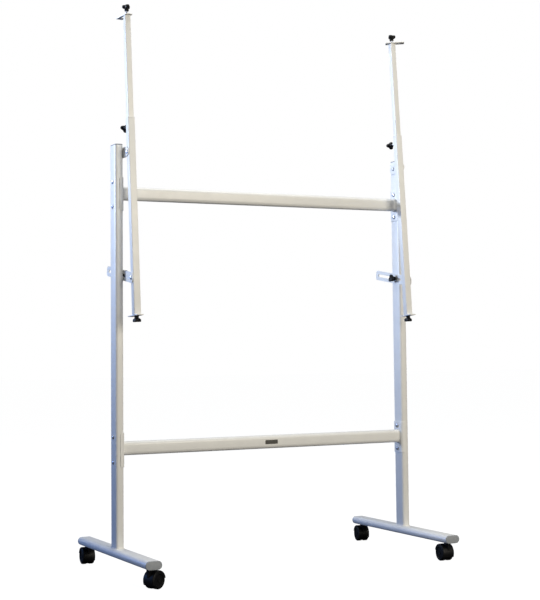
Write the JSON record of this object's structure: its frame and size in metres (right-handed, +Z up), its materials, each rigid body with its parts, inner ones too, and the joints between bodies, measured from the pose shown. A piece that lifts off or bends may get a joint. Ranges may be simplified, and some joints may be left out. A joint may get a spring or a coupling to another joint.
{
  "type": "mobile whiteboard stand",
  "caption": "Wheeled steel stand for a whiteboard: two uprights on castered feet, crossbars, and tilting telescopic holders with clamp jaws.",
  "frame": {"origin": "on the floor, under the middle of the bounding box", "axes": "+Z up, -Y towards the side that the board faces, +X to the right seen from the front"},
  "size_m": [1.2624, 0.7191, 2.0681],
  "materials": {
    "white_paint": "satin powder coat",
    "grey_plastic": "matte moulded",
    "black_plastic": "satin moulded",
    "black_rubber": "matte",
    "zinc": "zinc plated",
    "dark_label": "blank printed plate"
  },
  "bodies": {
    "frame": {"bolt_lower_left_low": "zinc", "bolt_lower_left_top": "zinc", "bolt_lower_right_low": "zinc", "bolt_lower_right_top": "zinc", "bolt_upper_left_low": "zinc", "bolt_upper_left_top": "zinc", "bolt_upper_right_low": "zinc", "bolt_upper_right_top": "zinc", "crossbar_lower": "white_paint", "crossbar_upper": "white_paint", "foot_cap_back_left": "grey_plastic", "foot_cap_back_right": "grey_plastic", "foot_cap_front_left": "grey_plastic", "foot_cap_front_right": "grey_plastic", "foot_left": "white_paint", "foot_right": "white_paint", "label_plate": "dark_label", "pivot_lug_left": "white_paint", "pivot_lug_right": "white_paint", "saddle_lower_left": "white_paint", "saddle_lower_right": "white_paint", "saddle_upper_left": "white_paint", "saddle_upper_right": "white_paint", "upright_cap_left": "grey_plastic", "upright_cap_right": "grey_plastic", "upright_left": "white_paint", "upright_right": "white_paint"},
    "caster_front_left": {"caster_hood_front_left": "black_plastic"},
    "wheels_front_left": {"caster_wheels_front_left": "black_rubber"},
    "caster_back_left": {"caster_hood_back_left": "black_plastic"},
    "wheels_back_left": {"caster_wheels_back_left": "black_rubber"},
    "caster_front_right": {"caster_hood_front_right": "black_plastic"},
    "wheels_front_right": {"caster_wheels_front_right": "black_rubber"},
    "caster_back_right": {"caster_hood_back_right": "black_plastic"},
    "wheels_back_right": {"caster_wheels_back_right": "black_rubber"},
    "brake_front_left": {"brake_pedal_front_left": "black_plastic"},
    "brake_front_right": {"brake_pedal_front_right": "black_plastic"},
    "holder_left": {"holder_tube_left": "white_paint", "pivot_pin_left": "zinc", "link_pin_left": "zinc"},
    "extension_left": {"extension_tube_left": "white_paint"},
    "tilt_link_left": {"tilt_link_left": "white_paint"},
    "tilt_knob_left": {"tilt_knob_left": "black_plastic"},
    "lock_knob_left": {"lock_knob_left": "black_plastic"},
    "jaw_top_left": {"jaw_top_left": "white_paint"},
    "jaw_knob_top_left": {"jaw_knob_top_left": "black_plastic"},
    "jaw_bottom_left": {"jaw_bottom_left": "white_paint"},
    "jaw_knob_bottom_left": {"jaw_knob_bottom_left": "black_plastic"},
    "holder_right": {"holder_tube_right": "white_paint", "pivot_pin_right": "zinc", "link_pin_right": "zinc"},
    "extension_right": {"extension_tube_right": "white_paint"},
    "tilt_link_right": {"tilt_link_right": "white_paint"},
    "tilt_knob_right": {"tilt_knob_right": "black_plastic"},
    "lock_knob_right": {"lock_knob_right": "black_plastic"},
    "jaw_top_right": {"jaw_top_right": "white_paint"},
    "jaw_knob_top_right": {"jaw_knob_top_right": "black_plastic"},
    "jaw_bottom_right": {"jaw_bottom_right": "white_paint"},
    "jaw_knob_bottom_right": {"jaw_knob_bottom_right": "black_plastic"}
  },
  "joints": [
    {"name": "caster_front_left_swivel", "type": "hinge", "parent": "frame", "child": "caster_front_left", "pos_m": [-0.6012, -0.3216, 0], "axis": [0, 0, 1], "continuous": true},
    {"name": "wheels_front_left_spin", "type": "hinge", "parent": "caster_front_left", "child": "wheels_front_left", "pos_m": [-0.58144, -0.31192, 0.03], "axis": [0.4399, -0.898, 0], "continuous": true},
    {"name": "caster_back_left_swivel", "type": "hinge", "parent": "frame", "child": "caster_back_left", "pos_m": [-0.6012, 0.3024, 0], "axis": [0, 0, 1], "continuous": true},
    {"name": "wheels_back_left_spin", "type": "hinge", "parent": "caster_back_left", "child": "wheels_back_left", "pos_m": [-0.59986, 0.32436, 0.03], "axis": [0.9981, -0.061, 0], "continuous": true},
    {"name": "caster_front_right_swivel", "type": "hinge", "parent": "frame", "child": "caster_front_right", "pos_m": [0.5988, -0.3216, 0], "axis": [0, 0, 1], "continuous": true},
    {"name": "wheels_front_right_spin", "type": "hinge", "parent": "caster_front_right", "child": "wheels_front_right", "pos_m": [0.60007, -0.29964, 0.03], "axis": [0.9983, -0.0576, 0], "continuous": true},
    {"name": "caster_back_right_swivel", "type": "hinge", "parent": "frame", "child": "caster_back_right", "pos_m": [0.5988, 0.3024, 0], "axis": [0, 0, 1], "continuous": true},
    {"name": "wheels_back_right_spin", "type": "hinge", "parent": "caster_back_right", "child": "wheels_back_right", "pos_m": [0.60277, 0.32404, 0.03], "axis": [0.9836, -0.1805, 0], "continuous": true},
    {"name": "brake_front_left_press", "type": "hinge", "parent": "caster_front_left", "child": "brake_front_left", "pos_m": [-0.54912, -0.29608, 0.03765], "axis": [-0.4399, 0.898, 0], "range_deg": [0, 20]},
    {"name": "brake_front_right_press", "type": "hinge", "parent": "caster_front_right", "child": "brake_front_right", "pos_m": [0.60214, -0.2637, 0.03765], "axis": [-0.9983, 0.0576, 0], "range_deg": [0, 20]},
    {"name": "holder_left_tilt", "type": "hinge", "parent": "frame", "child": "holder_left", "pos_m": [-0.5696, -0.0771, 1.521], "axis": [-1, 0, 0], "range_deg": [-4.2, 14]},
    {"name": "extension_left_slide", "type": "slide", "parent": "holder_left", "child": "extension_left", "axis": [0, 0.0795, 0.9968], "range_m": [-0.37, 0.08]},
    {"name": "tilt_link_left_pivot", "type": "hinge", "parent": "holder_left", "child": "tilt_link_left", "pos_m": [-0.5844, -0.11358, 1.06359], "axis": [1, 0, 0], "range_deg": [-1.5, 3.5]},
    {"name": "tilt_knob_left_turn", "type": "hinge", "parent": "frame", "child": "tilt_knob_left", "pos_m": [-0.5982, -0.0096, 1.079], "axis": [1, 0, 0], "continuous": true},
    {"name": "lock_knob_left_turn", "type": "hinge", "parent": "holder_left", "child": "lock_knob_left", "pos_m": [-0.5696, -0.05846, 1.61883], "axis": [0, 0.9968, -0.0795], "continuous": true},
    {"name": "jaw_top_left_swivel", "type": "hinge", "parent": "extension_left", "child": "jaw_top_left", "pos_m": [-0.5696, -0.03663, 2.02839], "axis": [0, 0.0795, 0.9968], "continuous": true},
    {"name": "jaw_knob_top_left_turn", "type": "hinge", "parent": "extension_left", "child": "jaw_knob_top_left", "pos_m": [-0.5696, -0.03759, 2.01643], "axis": [0, 0.0795, 0.9968], "continuous": true},
    {"name": "jaw_bottom_left_swivel", "type": "hinge", "parent": "holder_left", "child": "jaw_bottom_left", "pos_m": [-0.5696, -0.12417, 0.93087], "axis": [0, 0.0795, 0.9968], "continuous": true},
    {"name": "jaw_knob_bottom_left_turn", "type": "hinge", "parent": "holder_left", "child": "jaw_knob_bottom_left", "pos_m": [-0.5696, -0.12321, 0.94284], "axis": [0, 0.0795, 0.9968], "continuous": true},
    {"name": "holder_right_tilt", "type": "hinge", "parent": "frame", "child": "holder_right", "pos_m": [0.5672, -0.0771, 1.521], "axis": [-1, 0, 0], "range_deg": [-4.2, 14]},
    {"name": "extension_right_slide", "type": "slide", "parent": "holder_right", "child": "extension_right", "axis": [0, 0.0795, 0.9968], "range_m": [-0.37, 0.08]},
    {"name": "tilt_link_right_pivot", "type": "hinge", "parent": "holder_right", "child": "tilt_link_right", "pos_m": [0.582, -0.11358, 1.06359], "axis": [1, 0, 0], "range_deg": [-1.5, 3.5]},
    {"name": "tilt_knob_right_turn", "type": "hinge", "parent": "frame", "child": "tilt_knob_right", "pos_m": [0.5958, -0.0096, 1.079], "axis": [-1, 0, 0], "continuous": true},
    {"name": "lock_knob_right_turn", "type": "hinge", "parent": "holder_right", "child": "lock_knob_right", "pos_m": [0.5672, -0.05846, 1.61883], "axis": [0, 0.9968, -0.0795], "continuous": true},
    {"name": "jaw_top_right_swivel", "type": "hinge", "parent": "extension_right", "child": "jaw_top_right", "pos_m": [0.5672, -0.03687, 2.0254], "axis": [0, 0.0795, 0.9968], "continuous": true},
    {"name": "jaw_knob_top_right_turn", "type": "hinge", "parent": "extension_right", "child": "jaw_knob_top_right", "pos_m": [0.5672, -0.03783, 2.01344], "axis": [0, 0.0795, 0.9968], "continuous": true},
    {"name": "jaw_bottom_right_swivel", "type": "hinge", "parent": "holder_right", "child": "jaw_bottom_right", "pos_m": [0.5672, -0.12417, 0.93087], "axis": [0, 0.0795, 0.9968], "continuous": true},
    {"name": "jaw_knob_bottom_right_turn", "type": "hinge", "parent": "holder_right", "child": "jaw_knob_bottom_right", "pos_m": [0.5672, -0.12321, 0.94284], "axis": [0, 0.0795, 0.9968], "continuous": true}
  ],
  "couplings": [
    {"joint": "tilt_link_left_pivot", "follows": "holder_left_tilt", "ratio": 0.221},
    {"joint": "tilt_link_right_pivot", "follows": "holder_right_tilt", "ratio": 0.221}
  ]
}
